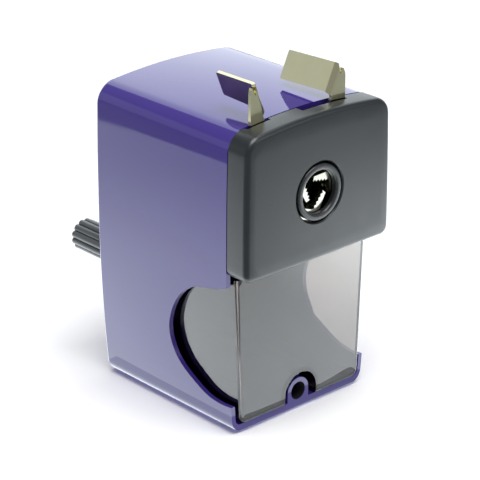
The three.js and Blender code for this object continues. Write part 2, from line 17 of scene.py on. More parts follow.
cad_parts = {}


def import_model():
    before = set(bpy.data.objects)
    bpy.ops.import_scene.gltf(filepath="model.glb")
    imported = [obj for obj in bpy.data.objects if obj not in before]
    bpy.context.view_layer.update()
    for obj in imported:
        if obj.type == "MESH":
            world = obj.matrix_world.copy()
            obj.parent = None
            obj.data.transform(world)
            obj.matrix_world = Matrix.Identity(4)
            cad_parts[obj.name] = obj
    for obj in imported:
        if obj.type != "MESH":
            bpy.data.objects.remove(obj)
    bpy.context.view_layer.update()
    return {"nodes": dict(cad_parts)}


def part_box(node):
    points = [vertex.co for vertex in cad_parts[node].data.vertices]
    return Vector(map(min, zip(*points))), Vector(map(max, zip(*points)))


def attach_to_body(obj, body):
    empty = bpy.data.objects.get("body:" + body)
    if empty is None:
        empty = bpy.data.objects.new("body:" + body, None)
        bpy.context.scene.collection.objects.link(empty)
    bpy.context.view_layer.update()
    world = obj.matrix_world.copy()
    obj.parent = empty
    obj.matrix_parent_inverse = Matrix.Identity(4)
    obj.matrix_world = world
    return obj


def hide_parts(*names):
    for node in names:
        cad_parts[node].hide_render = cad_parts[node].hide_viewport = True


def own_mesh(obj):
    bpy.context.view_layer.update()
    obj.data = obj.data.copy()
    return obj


LOG = logging.getLogger("sharpener")
MM = 0.001
COLLAR_REACH_MM = 2.2  # the fixed lever's collar stands this far in front of its sheet
SHARP_ANGLE = math.radians(34)  # edges bent more than this are kept sharp, or rounded
CHUCK_SCREWS = ((23.0, 170.0), (20.0, 290.0), (23.0, 40.0))  # mm from the axis, and degrees
Point = tuple[float, float, float]
Pair = tuple[float, float]
EdgeTest = Callable[[bmesh.types.BMEdge], bool]
Tree, Socket = bpy.types.NodeTree, bpy.types.NodeSocket
Material, Piece = bpy.types.Material, bpy.types.Object


# ---- small helpers -------------------------------------------------------
def srgb(code: str) -> tuple[float, float, float, float]:
    """Turn a hex colour to linear light.

    Args:
        code: six hex digits, red first.

    Returns:
        Linear red, green and blue, and an alpha of 1.
    """
    parts = [int(code[i:i + 2], 16) / 255 for i in (0, 2, 4)]
    linear = [p / 12.92 if p <= 0.04045 else ((p + 0.055) / 1.055) ** 2.4 for p in parts]
    return (*linear, 1.0)


def add_node(tree: Tree, kind: str, settings: Optional[dict] = None,
             **inputs: object) -> bpy.types.Node:
    """Add one node, set it up and link it.

    Args:
        tree: the node tree that gets the node.
        kind: the node's type name.
        settings: attributes of the node itself.
        inputs: socket values or output sockets, by socket name with _ for a space.

    Returns:
        The new node.
    """
    node = tree.nodes.new(kind)
    for key, value in (settings or {}).items():
        setattr(node, key, value)
    for key, value in inputs.items():
        socket = node.inputs[int(key[1:])] if key[1:].isdigit() else node.inputs[key.replace("_", " ")]
        if isinstance(value, Socket):
            tree.links.new(value, socket)
        else:
            socket.default_value = value
    return node


def spline(points: Sequence[Pair], steps: int) -> list[Pair]:
    """Run a smooth Catmull-Rom line through flat points.

    Args:
        points: the points to pass through, in order.
        steps: segments between two points.

    Returns:
        The points of the smooth line.
    """
    line = []
    for i in range(len(points) - 1):
        before = points[max(i - 1, 0)]
        a, b = points[i], points[i + 1]
        after = points[min(i + 2, len(points) - 1)]
        for step in range(steps):
            t = step / steps
            line.append(tuple(
                0.5 * (2 * a[k] + (b[k] - before[k]) * t
                       + (2 * before[k] - 5 * a[k] + 4 * b[k] - after[k]) * t ** 2
                       + (3 * a[k] - before[k] - 3 * b[k] + after[k]) * t ** 3)
                for k in (0, 1)))
    line.append(tuple(points[-1]))
    return line


def smooth_step(low: float, high: float, value: float) -> float:
    """Return 0 below low, 1 above high and an eased value between them."""
    t = min(max((value - low) / (high - low), 0.0), 1.0)
    return t * t * (3 - 2 * t)


def polar(centre: Pair, reach: float, degrees: float) -> Pair:
    """Return the (x, z) point at a reach and a direction from a centre."""
    turn = math.radians(degrees)
    return centre[0] + reach * math.cos(turn), centre[1] + reach * math.sin(turn)


def show(name: str, data: bpy.types.ID) -> Piece:
    """Make an object from its data and put it in the scene."""
    shown = bpy.data.objects.new(name, data)
    bpy.context.scene.collection.objects.link(shown)
    return shown


# ---- solids --------------------------------------------------------------
class Solid:
    """A bmesh in millimetres, with the operators that shape the pieces."""

    def __init__(self) -> None:
        """Start empty."""
        self.bm = bmesh.new()

    @classmethod
    def block(cls, low: Point, high: Point) -> "Solid":
        """Make a cuboid between two corners."""
        solid = cls()
        size = Vector(high) - Vector(low)
        middle = (Vector(high) + Vector(low)) / 2
        bmesh.ops.create_cube(solid.bm, size=1, matrix=Matrix.Translation(middle)
                              @ Matrix.Diagonal((*size, 1)))
        return solid

    @classmethod
    def prism(cls, outline: Sequence[Pair], front: float, rear: float) -> "Solid":
        """Push a front-view (x, z) outline back from y = front to y = rear."""
        solid = cls()
        verts = [solid.bm.verts.new((x, front, z)) for x, z in outline]
        face = solid.bm.faces.new(verts)
        grown = bmesh.ops.extrude_face_region(solid.bm, geom=[face])
        moved = [g for g in grown["geom"] if isinstance(g, bmesh.types.BMVert)]
        bmesh.ops.translate(solid.bm, verts=moved, vec=(0, rear - front, 0))
        return solid.outward()

    @classmethod
    def turned(cls, profile: Sequence[Pair], centre: Pair,
               steps: int = 96, closed: bool = True) -> "Solid":
        """Spin a profile of (radius, y) points round the Y line through (x, z) = centre.

        Args:
            profile: the points of the section, in order.
            centre: x and z of the axis.
            steps: segments round the turn.
            closed: whether the profile is a ring, as on a tube.

        Returns:
            The turned solid.
        """
        solid = cls()
        verts = [solid.bm.verts.new((r, y, 0)) for r, y in profile]
        pairs = list(zip(verts, verts[1:])) + ([(verts[-1], verts[0])] if closed else [])
        edges = [solid.bm.edges.new(pair) for pair in pairs]
        bmesh.ops.spin(solid.bm, geom=[*verts, *edges], cent=(0, 0, 0), axis=(0, 1, 0),
                       angle=2 * math.pi, steps=steps, use_merge=True)
        bmesh.ops.remove_doubles(solid.bm, verts=solid.bm.verts, dist=1e-4)
        bmesh.ops.translate(solid.bm, verts=solid.bm.verts, vec=(centre[0], 0, centre[1]))
        return solid.outward()

    @classmethod
    def rod(cls, radius: float, front: float, rear: float, centre: Pair,
            steps: int = 48) -> "Solid":
        """Make a round bar along Y."""
        return cls.turned([(0, front), (radius, front), (radius, rear), (0, rear)], centre,
                          steps, closed=False)

    @classmethod
    def sheet(cls, outline: Sequence[tuple[float, float, float]]) -> "Solid":
        """Make one flat face in the (x, z) plane with rounded corners.

        Args:
            outline: x, z and corner radius of each corner.

        Returns:
            The flat sheet, without thickness.
        """
        solid = cls()
        corners = [(solid.bm.verts.new((x, 0, z)), radius) for x, z, radius in outline]
        solid.bm.faces.new([vert for vert, _ in corners])
        for vert, radius in corners:
            if radius:
                bmesh.ops.bevel(solid.bm, geom=[vert], offset=radius, segments=6,
                                affect="VERTICES", profile=0.5, material=-1)
        return solid

    @classmethod
    def coil(cls, wire: float, radius: float, low: float, high: float, turns: int) -> "Solid":
        """Wind a spring along Y, with its axis through the origin."""
        solid = cls()
        circle = bmesh.ops.create_circle(
            solid.bm, segments=8, radius=wire, matrix=Matrix.Translation((radius, low, 0)))
        edges = list({edge for vert in circle["verts"] for edge in vert.link_edges})
        per_turn = 20
        lift = (high - low) / (turns * per_turn)
        bmesh.ops.spin(solid.bm, geom=[*circle["verts"], *edges], cent=(0, 0, 0),
                       axis=(0, 1, 0), dvec=(0, lift, 0), angle=2 * math.pi * turns,
                       steps=turns * per_turn, use_merge=False)
        bmesh.ops.holes_fill(solid.bm, edges=[e for e in solid.bm.edges if e.is_boundary])
        return solid.outward()

    def slice(self, normal: Point, places: Iterable[float]) -> "Solid":
        """Cut the mesh across, without taking anything away, at places along a direction."""
        for distance in places:
            geom = [*self.bm.verts, *self.bm.edges, *self.bm.faces]
            bmesh.ops.bisect_plane(self.bm, geom=geom, plane_co=Vector(normal) * distance,
                                   plane_no=normal)
        return self

    def outward(self) -> "Solid":
        """Turn every face outwards."""
        bmesh.ops.recalc_face_normals(self.bm, faces=self.bm.faces)
        return self

    def bevel(self, chosen: EdgeTest, width: float,
              segments: int) -> "Solid":
        """Round the chosen edges with a radius of width."""
        edges = [e for e in self.bm.edges if chosen(e)]
        bmesh.ops.bevel(self.bm, geom=edges, offset=width, segments=segments, affect="EDGES",
                        profile=0.5, material=-1, offset_type="OFFSET", clamp_overlap=True)
        return self

    def divide(self, chosen: EdgeTest, cuts: int) -> "Solid":
        """Cut the chosen edges into cuts + 1 parts."""
        edges = [e for e in self.bm.edges if chosen(e)]
        bmesh.ops.subdivide_edges(self.bm, edges=edges, cuts=cuts, use_grid_fill=False)
        return self

    def warp(self, rule: Callable[[Vector], Vector]) -> "Solid":
        """Move every vertex by a rule."""
        for vert in self.bm.verts:
            vert.co = rule(vert.co.copy())
        return self

    def move(self, matrix: Matrix) -> "Solid":
        """Turn and shift the whole solid."""
        bmesh.ops.transform(self.bm, matrix=matrix, verts=self.bm.verts)
        return self

    def open_side(self, chosen: Callable[[bmesh.types.BMFace], bool]) -> "Solid":
        """Take off the chosen faces."""
        faces = [f for f in self.bm.faces if chosen(f)]
        bmesh.ops.delete(self.bm, geom=faces, context="FACES")
        return self

    def mesh(self, name: str) -> bpy.types.Mesh:
        """Write the solid to a mesh, in metres."""
        data = bpy.data.meshes.new(name)
        copy = self.bm.copy()
        bmesh.ops.scale(copy, vec=(MM, MM, MM), verts=copy.verts)
        copy.to_mesh(data)
        copy.free()
        return data

    def apply(self, *steps: Callable[[Piece], None]) -> "Solid":
        """Run modifiers on the solid and take their result.

        Args:
            steps: functions that each add modifiers to a helper object.

        Returns:
            A new solid with the result.
        """
        helper = show("helper", self.mesh("helper"))
        for step in steps:
            step(helper)
        graph = bpy.context.evaluated_depsgraph_get()
        result = Solid()
        result.bm.from_object(helper, graph)
        bmesh.ops.scale(result.bm, vec=(1 / MM,) * 3, verts=result.bm.verts)
        bpy.data.objects.remove(helper)
        return result

    def walled(self, thickness: float, offset: float = -1) -> "Solid":
        """Give an open skin its thickness: inwards, or to both sides with offset 0."""
        def add(helper: Piece) -> None:
            shell = helper.modifiers.new("wall", "SOLIDIFY")
            shell.thickness = thickness * MM
            shell.offset = offset
            shell.use_even_offset = True
        return self.apply(add)

    def combined(self, cut: Iterable["Solid"] = (), add: Iterable["Solid"] = ()) -> "Solid":
        """Join the add solids, then cut the cut solids away."""
        helpers = []

        def attach(helper: Piece) -> None:
            for kind, solids in (("UNION", add), ("DIFFERENCE", cut)):
                for solid in solids:
                    other = show("cutter", solid.mesh("cutter"))
                    helpers.append(other)
                    modifier = helper.modifiers.new("boolean", "BOOLEAN")
                    modifier.operation = kind
                    modifier.solver = "EXACT"
                    modifier.object = other
        result = self.apply(attach)
        for other in helpers:
            bpy.data.objects.remove(other)
        bmesh.ops.remove_doubles(result.bm, verts=result.bm.verts, dist=1e-3)
        bmesh.ops.dissolve_degenerate(result.bm, edges=result.bm.edges, dist=1e-3)
        return result


def gathered(*solids: Solid) -> Solid:
    """Put several closed solids in one mesh, as they lie."""
    whole = Solid()
    for solid in solids:
        data = bpy.data.meshes.new("part")
        solid.bm.to_mesh(data)
        whole.bm.from_mesh(data)
        bpy.data.meshes.remove(data)
    return whole


def along(axis: int) -> EdgeTest:
    """Return a test for edges that run along one axis."""
    def test(edge: bmesh.types.BMEdge) -> bool:
        line = edge.verts[1].co - edge.verts[0].co
        return abs(line[axis]) > 0.999 * line.length
    return test


# ---- finishes ------------------------------------------------------------
class Surface(Enum):
    """How a moulded surface was left by its tool."""

    POLISHED = "polished"
    SPARKED = "sparked"


@dataclass(frozen=True)
class Recipe:
    """What all finishes share: their colour, their gloss, and how both vary on the surface."""

    name: str
    colour: str
    roughness: float

    def start(self, uniform: dict[str, float]) -> tuple[Material, Tree, Socket]:
        """Make the bare material.

        Args:
            uniform: the shader's numbers that are the same all over, by socket name.

        Returns:
            The material, its node tree and the place on the object that its patterns read.
        """
        material = bpy.data.materials.new(self.name)
        material.use_nodes = True
        tree = material.node_tree
        for socket, value in uniform.items():
            tree.nodes["Principled BSDF"].inputs[socket].default_value = value
        return material, tree, add_node(tree, "ShaderNodeTexCoord").outputs["Object"]

    def feed(self, tree: Tree, source: Socket, socket: str) -> None:
        """Link a result to the shader."""
        tree.links.new(source, tree.nodes["Principled BSDF"].inputs[socket])

    def vary_colour(self, tree: Tree, pattern: bpy.types.Node, least: float,
                    most: float) -> None:
        """Let the colour run between two shares of its brightness."""
        tint = add_node(tree, "ShaderNodeMix", {"data_type": "RGBA"},
                        Factor=pattern.outputs["Fac"])
        for socket, share in ((6, least), (7, most)):
            parts = (min(part * share, 1) for part in srgb(self.colour)[:3])
            tint.inputs[socket].default_value = (*parts, 1.0)
        self.feed(tree, tint.outputs[2], "Base Color")

    def vary_gloss(self, tree: Tree, pattern: bpy.types.Node, least: float,
                   most: float) -> None:
        """Let the roughness run between two shares of its value."""
        spread = add_node(tree, "ShaderNodeMapRange", Value=pattern.outputs["Fac"],
                          To_Min=self.roughness * least, To_Max=self.roughness * most)
        self.feed(tree, spread.outputs["Result"], "Roughness")

    def raise_grain(self, tree: Tree, height: Socket, depth_mm: float) -> None:
        """Give the surface its fine relief."""
        bump = add_node(tree, "ShaderNodeBump", Height=height, Distance=depth_mm * MM,
                        Strength=1.0)
        self.feed(tree, bump.outputs["Normal"], "Normal")


@dataclass(frozen=True)
class MouldedPlastic(Recipe):
    """Injection-moulded plastic.

    A polished tool leaves a mirror skin with a faint, wide ripple. A sparked tool leaves a
    fine, even grain that spreads the light.
    """

    surface: Surface
    grain_mm: float
    grain_depth_mm: float
    ior: float = 1.53
    shade: float = 0.06
    flow_mm: float = 14.0
    rub_mm: float = 5.0

    def build(self) -> Material:
        """Make the material."""
        material, tree, place = self.start({"IOR": self.ior})
        flow = add_node(tree, "ShaderNodeTexNoise", Vector=place,
                        Scale=1 / (self.flow_mm * MM), Detail=3.0)
        self.vary_colour(tree, flow, 1 - self.shade, 1 + self.shade)
        rub = add_node(tree, "ShaderNodeTexNoise", Vector=place, Scale=1 / (self.rub_mm * MM),
                       Detail=6.0)
        self.vary_gloss(tree, rub, 0.85, 1.2)
        scale = 1 / (self.grain_mm * MM)
        if self.surface is Surface.SPARKED:
            height = add_node(tree, "ShaderNodeTexVoronoi", {"feature": "SMOOTH_F1"},
                              Vector=place, Scale=scale).outputs["Distance"]
        else:
            height = add_node(tree, "ShaderNodeTexNoise", Vector=place, Scale=scale,
                              Detail=1.0).outputs["Fac"]
        self.raise_grain(tree, height, self.grain_depth_mm)
        return material


@dataclass(frozen=True)
class ClearPlastic(Recipe):
    """Clear tinted styrene, moulded in a polished tool.

    The eye looks through it into the dark drawer, sees the bright table in its flat gloss
    faces, and sees the tint deepen where a wall is met edge on.
    """

    ripple_mm: float
    ripple_depth_mm: float
    ior: float = 1.59
    cloud_mm: float = 18.0
    rub_mm: float = 7.0

    def build(self) -> Material:
        """Make the material."""
        material, tree, place = self.start({"IOR": self.ior, "Transmission Weight": 1.0})
        cloud = add_node(tree, "ShaderNodeTexNoise", Vector=place,
                         Scale=1 / (self.cloud_mm * MM), Detail=2.0)
        self.vary_colour(tree, cloud, 0.96, 1.0)
        rub = add_node(tree, "ShaderNodeTexNoise", Vector=place, Scale=1 / (self.rub_mm * MM),
                       Detail=5.0)
        self.vary_gloss(tree, rub, 0.7, 1.3)
        ripple = add_node(tree, "ShaderNodeTexNoise", Vector=place,
                          Scale=1 / (self.ripple_mm * MM), Detail=1.0)
        self.raise_grain(tree, ripple.outputs["Fac"], self.ripple_depth_mm)
        return material


@dataclass(frozen=True)
class Metal(Recipe):
    """Plated, drawn or cast metal.

    Plate is near mirror with faint rubbed patches; drawn wire and turned pins show fine
    scratches; casting is dull and slightly rough.
    """

    scratch_mm: float
    scratch_depth_mm: float
    stretch: Point = (1.0, 1.0, 1.0)
    stain_mm: float = 6.0

    def build(self) -> Material:
        """Make the material."""
        material, tree, place = self.start({"Metallic": 1.0})
        stain = add_node(tree, "ShaderNodeTexNoise", Vector=place,
                         Scale=1 / (self.stain_mm * MM), Detail=4.0)
        self.vary_colour(tree, stain, 0.9, 1.0)
        stretched = add_node(tree, "ShaderNodeMapping", Vector=place, Scale=self.stretch)
        lines = add_node(tree, "ShaderNodeTexNoise", Vector=stretched.outputs["Vector"],
                         Scale=1 / (self.scratch_mm * MM), Detail=3.0)
        self.vary_gloss(tree, lines, 0.7, 1.4)
        self.raise_grain(tree, lines.outputs["Fac"], self.scratch_depth_mm)
        return material


class Finish(Enum):
    """Every finish of the sharpener, with the record's slot that it belongs to."""

    VIOLET_ABS = ("violet_abs", MouldedPlastic(
        "gloss_moulded_violet_abs", "372878", 0.055, Surface.POLISHED, 9.0, 0.006))
    BLACK_ABS = ("black_abs", MouldedPlastic(
        "grained_moulded_black_abs", "10171a", 0.34, Surface.SPARKED, 0.5, 0.022, shade=0.1))
    PLAIN_BLACK_ABS = ("black_abs", MouldedPlastic(
        "plain_moulded_black_abs", "222426", 0.3, Surface.POLISHED, 4.0, 0.01))
    BEZEL_ABS = ("bezel_abs", MouldedPlastic(
        "satin_moulded_black_abs", "202325", 0.27, Surface.POLISHED, 5.0, 0.006))
    # Painted shade: nearly black, for how little light gets into the narrow socket; the real moulding
    # is the same violet there.
    BORE_ABS = ("violet_abs", MouldedPlastic(
        "painted_shade_bore_violet_abs", "0b0914", 0.6, Surface.SPARKED, 0.6, 0.02))
    KNOB_ABS = ("black_abs", MouldedPlastic(
        "satin_moulded_grey_abs", "44474a", 0.34, Surface.POLISHED, 3.0, 0.01))
    SMOKE_STYRENE = ("smoke_styrene", ClearPlastic(
        "smoke_clear_moulded_styrene", "c5c1be", 0.012, 16.0, 0.002))
    NICKEL = ("nickel_plate", Metal(
        "bright_nickel_plate", "cdc8a6", 0.13, 1.8, 0.03, (1.0, 1.0, 0.25)))
    HARD_STEEL = ("steel", Metal(
        "ground_hard_steel", "c9c6ba", 0.2, 0.5, 0.006, (1.0, 0.1, 1.0)))
    STEEL = ("steel", Metal("turned_steel", "b9bbbd", 0.28, 0.4, 0.004, (1.0, 0.08, 1.0)))
    DIE_CAST = ("die_cast", Metal("zinc_die_casting", "8f9193", 0.45, 0.6, 0.02))
    BRONZE = ("bronze", Metal("sintered_bronze", "a8834a", 0.4, 0.3, 0.01))
    ACETAL = ("acetal", MouldedPlastic(
        "moulded_acetal", "d8d6cc", 0.45, Surface.POLISHED, 2.0, 0.01))
    RUBBER = ("rubber", MouldedPlastic(
        "moulded_black_rubber", "1c1c1c", 0.8, Surface.SPARKED, 0.4, 0.03))

    def __init__(self, slot: str, recipe: Recipe) -> None:
        """Keep the slot and the recipe."""
        self.slot = slot
        self.recipe = recipe

    @property
    def material(self) -> Material:
        """Return the finish's material, made on first use."""
        return bpy.data.materials.get(self.recipe.name) or self.recipe.build()


# ---- putting pieces in place ---------------------------------------------
def soften(piece: Piece, width_mm: float, segments: int = 3, weld: bool = False) -> None:
    """Round a piece's sharp edges.

    Args:
        piece: the object that gets the modifiers.
        width_mm: radius of the edges.
        segments: facets round one edge.
        weld: whether the mesh first needs its corners joined, as a CAD node does.
    """
    if weld:
        piece.modifiers.new("weld", "WELD").merge_threshold = 0.002 * MM
    edge = piece.modifiers.new("edge", "BEVEL")
    edge.width = width_mm * MM
    edge.segments = segments
    edge.limit_method = "ANGLE"
    edge.angle_limit = SHARP_ANGLE
    edge.miter_outer = "MITER_ARC"
    edge.use_clamp_overlap = True
    edge.harden_normals = True


def place(name: str, solid: Solid, finish: Finish, body: str, replaced: Sequence[str] = (),
          edge_mm: float = 0.0, edge_steps: int = 3) -> Piece:
    """Turn a solid to a finished piece on its body.

    Args:
        name: the piece's name.
        solid: its shape, in millimetres in the row frame.
        finish: its material.
        body: the moving body that it rides on.
        replaced: the CAD nodes that it stands for.
        edge_mm: radius of its sharp edges, or 0 to leave them.
        edge_steps: facets round one edge.

    Returns:
        The new object.
    """
    data = solid.mesh(name)
    data.shade_smooth()
    data.set_sharp_from_angle(angle=SHARP_ANGLE)
    data.materials.append(finish.material)
    piece = show(name, data)
    if edge_mm:
        soften(piece, edge_mm, edge_steps)
    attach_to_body(piece, body)
    if replaced:
        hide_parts(*replaced)
    LOG.info("%s: %d faces on %s", name, len(data.polygons), body)
    return piece


def dress(nodes: dict, names: Iterable[str], finish: Finish, edge_mm: float = 0.15) -> None:
    """Give CAD nodes that keep their shape a finish and soft edges."""
    for name in names:
        node = nodes[name]
        node.data.materials.clear()
        node.data.materials.append(finish.material)
        if edge_mm:
            soften(node, edge_mm, 2, weld=True)
        LOG.info("%s dressed in %s", name, finish.recipe.name)


# ---- shared body shape ---------------------------------------------------
@dataclass
class BodyForm:
    """The bowed, crowned front-view form that the housing and face plate share."""

    front_mm: float
    top_mm: float = 113.3
    half_width_mm: float = 34.0
    widest_mm: float = 63.3
    bow_radius_mm: float = 650.0
    upper_bow_radius_mm: float = 1500.0
    crown_radius_mm: float = 240.0

    def bow(self, point: Vector) -> Vector:
        """Pull the sides in above and below the widest height and round the top."""
        radius = self.upper_bow_radius_mm if point.z > self.widest_mm else self.bow_radius_mm
        ease = (point.z - self.widest_mm) ** 2 / (2 * radius)
        crown = point.x ** 2 / (2 * self.crown_radius_mm)
        share = smooth_step(self.top_mm - 26, self.top_mm - 2, point.z)
        point.x *= (self.half_width_mm - ease) / self.half_width_mm
        point.z -= crown * share
        return point

    def rounded(self, low: Point, high: Point, foot_radius: float, top_radius: float,
                rim: float, rim_y: float) -> Solid:
        """Make a closed block with rounded long edges and one rounded rim, then bow it.

        Args:
            low: lowest corner before it is bowed.
            high: highest corner before it is bowed.
            foot_radius: radius of the two lower long edges.
            top_radius: radius of the two upper long edges.
            rim: radius of the rim at rim_y.
            rim_y: which end's rim is rounded.

        Returns:
            The bowed block.
        """
        block = Solid.block(low, high)
        depthwise = along(1)
        centre = (low[2] + high[2]) / 2
        block.bevel(lambda e: depthwise(e) and e.verts[0].co.z < centre, foot_radius, 8)
        block.bevel(lambda e: depthwise(e) and e.verts[0].co.z > centre
                    and e.calc_length() > 1 and abs(e.verts[0].co.x) > high[0] - 0.01
                    and e.verts[0].co.z > high[2] - 0.01, top_radius, 10)
        long_side = 0.3 * (high[2] - low[2])
        block.divide(lambda e: along(2)(e) and e.calc_length() > long_side, 20)
        block.divide(lambda e: along(0)(e) and e.calc_length() > long_side, 14)
        block.bevel(lambda e: all(abs(v.co.y - rim_y) < 1e-4 for v in e.verts)
                    and len(e.link_faces) == 2 and e.calc_face_angle(0) > 1, rim, 5)
        return block.warp(self.bow)


# ---- housing -------------------------------------------------------------
@dataclass
class Housing:
    """The violet shell with its windows, clamp socket, floor and rear opening."""

    form: BodyForm
    axis: Pair
    depth_mm: float = 68.0
    foot_mm: float = 0.7
    wall_mm: float = 1.8
    floor_mm: float = 2.6
    cap_hole_mm: float = 20.6
    socket_z_mm: float = 6.9
    socket_radius_mm: float = 5.0
    socket_bore_mm: float = 3.35
    socket_depth_mm: float = 45.0
    post_x_mm: Pair = (22.5, 30.0)
    post_z_mm: Pair = (101.5, 109.6)
    post_depth_mm: Pair = (4.2, 16.0)
    window: Sequence[Pair] = field(default_factory=lambda: (
        (0, 56.5), (4.6, 54.8), (9.4, 53.8), (18.2, 50.9), (26.2, 43.6), (30.5, 31.7),
        (26.6, 20.7), (15.3, 12.9), (7.3, 10.7), (0, 11.0)))

    def window_cutter(self, side: int) -> Solid:
        """Make the cutter of one side's open D-shaped window."""
        front = self.form.front_mm
        edge = spline(self.window, 6)
        outline = [(-5.0, 57.2), *edge, (-5.0, 11.0)]
        # Drawn in (x, z) and turned a quarter about Z, the outline faces sideways.
        cutter = Solid.prism(outline, 22, 42)
        turn = Matrix.Rotation(math.radians(90 if side < 0 else -90), 4, "Z")
        flip = Matrix.Diagonal((1 if side < 0 else -1, 1, 1, 1))
        cutter.move(Matrix.Translation((0, front, 0)) @ turn @ flip)
        return cutter.outward()

    def shell(self) -> Solid:
        """Build the whole shell."""
        front, rear = self.form.front_mm, self.form.front_mm + self.depth_mm
        half, top, wall = self.form.half_width_mm, self.form.top_mm, self.wall_mm
        floor_top = self.foot_mm + self.floor_mm
        skin = self.form.rounded((-half, front, self.foot_mm), (half, rear, top), 4.5, 7.0, 1.4,
                                 rear)
        hollow = self.form.rounded((-half + wall, front - 1, floor_top),
                                   (half - wall, rear - 2, top - wall), 2.0, 5.4, 0.6, rear - 2)
        bore = Solid.rod(self.socket_radius_mm, front + 0.01, front + self.socket_depth_mm,
                         (0, self.socket_z_mm), 64)
        pedestal = Solid.block((-self.socket_radius_mm, front + 0.01, floor_top - 0.6),
                               (self.socket_radius_mm, front + self.socket_depth_mm,
                                self.socket_z_mm))
        near, far = self.post_depth_mm
        posts = []
        for side in (-1, 1):
            left, right = sorted(side * x for x in self.post_x_mm)
            posts.append(Solid.block((left, front + near, self.post_z_mm[0]),
                                     (right, front + far, self.post_z_mm[1])))
        cuts = [
            self.window_cutter(1), self.window_cutter(-1),
            Solid.rod(self.socket_bore_mm, front - 1, front + self.socket_depth_mm - 3,
                      (0, self.socket_z_mm), 64),
            Solid.rod(self.cap_hole_mm, rear - 4, rear + 1, self.axis, 96),
        ]
        return skin.combined(cut=[hollow]).combined(add=[bore, pedestal, *posts], cut=cuts)

    def build(self) -> None:
        """Build and place the shell."""
        skin = place("housing_skin", self.shell(), Finish.VIOLET_ABS, "housing",
                     ["housing_shell"], edge_mm=0.45)
        # Painted shade: faces inside the clamp socket's bore get the near-black second material in
        # place of the violet.
        skin.data.materials.append(Finish.BORE_ABS.material)
        reach = (self.socket_bore_mm + 0.4) * MM
        for face in skin.data.polygons:
            place_x, place_y, place_z = face.center
            off_axis = math.hypot(place_x, place_z - self.socket_z_mm * MM)
            depth = place_y / MM - self.form.front_mm
            if off_axis < reach and 0.2 < depth < self.socket_depth_mm - 1:
                face.material_index = 1


# ---- drawer --------------------------------------------------------------
@dataclass
class Drawer:
    """The smoke-clear drawer with its arch over the clamp socket."""

    low: Vector
    high: Vector
    wall_mm: float = 1.5
    arch_radius_mm: float = 7.5
    arch_z_mm: float = 7.1
    foot_half_mm: float = 28.6

    def build(self) -> None:
        """Build and place the drawer."""
        half = self.high.x
        block = Solid.block(tuple(self.low), tuple(self.high))
        upright = along(2)
        middle = (self.low.y + self.high.y) / 2
        depthwise = along(1)
        block.bevel(lambda e: depthwise(e) and e.verts[0].co.z < self.low.z + 0.01, 3.2, 7)
        block.bevel(lambda e: upright(e) and e.calc_length() > 20
                    and e.verts[0].co.y > middle, 2.4, 6)
        block.bevel(lambda e: all(v.co.y < self.low.y + 0.01 for v in e.verts)
                    and not all(v.co.z > self.high.z - 0.01 for v in e.verts), 1.5, 6)
        span = self.high.z - self.low.z
        taper = (half - self.foot_half_mm) / span
        block.warp(lambda p: Vector((p.x * (1 - taper * (self.high.z - p.z) / half), p.y, p.z)))
        arch = [(self.arch_radius_mm * math.cos(math.pi * i / 32),
                 self.arch_z_mm + self.arch_radius_mm * math.sin(math.pi * i / 32))
                for i in range(33)]
        tunnel = [(self.arch_radius_mm, self.low.z - 2), *arch,
                  (-self.arch_radius_mm, self.low.z - 2)]
        cutter = Solid.prism(tunnel, self.low.y - 2, self.high.y + 2)
        tray = block.combined(cut=[cutter])
        tray.open_side(lambda f: f.normal.z > 0.99
                       and f.calc_center_median().z > self.high.z - 0.01)
        place("drawer_tray", tray.walled(self.wall_mm), Finish.SMOKE_STYRENE, "shavings_drawer",
              ["drawer"], edge_mm=0.3)


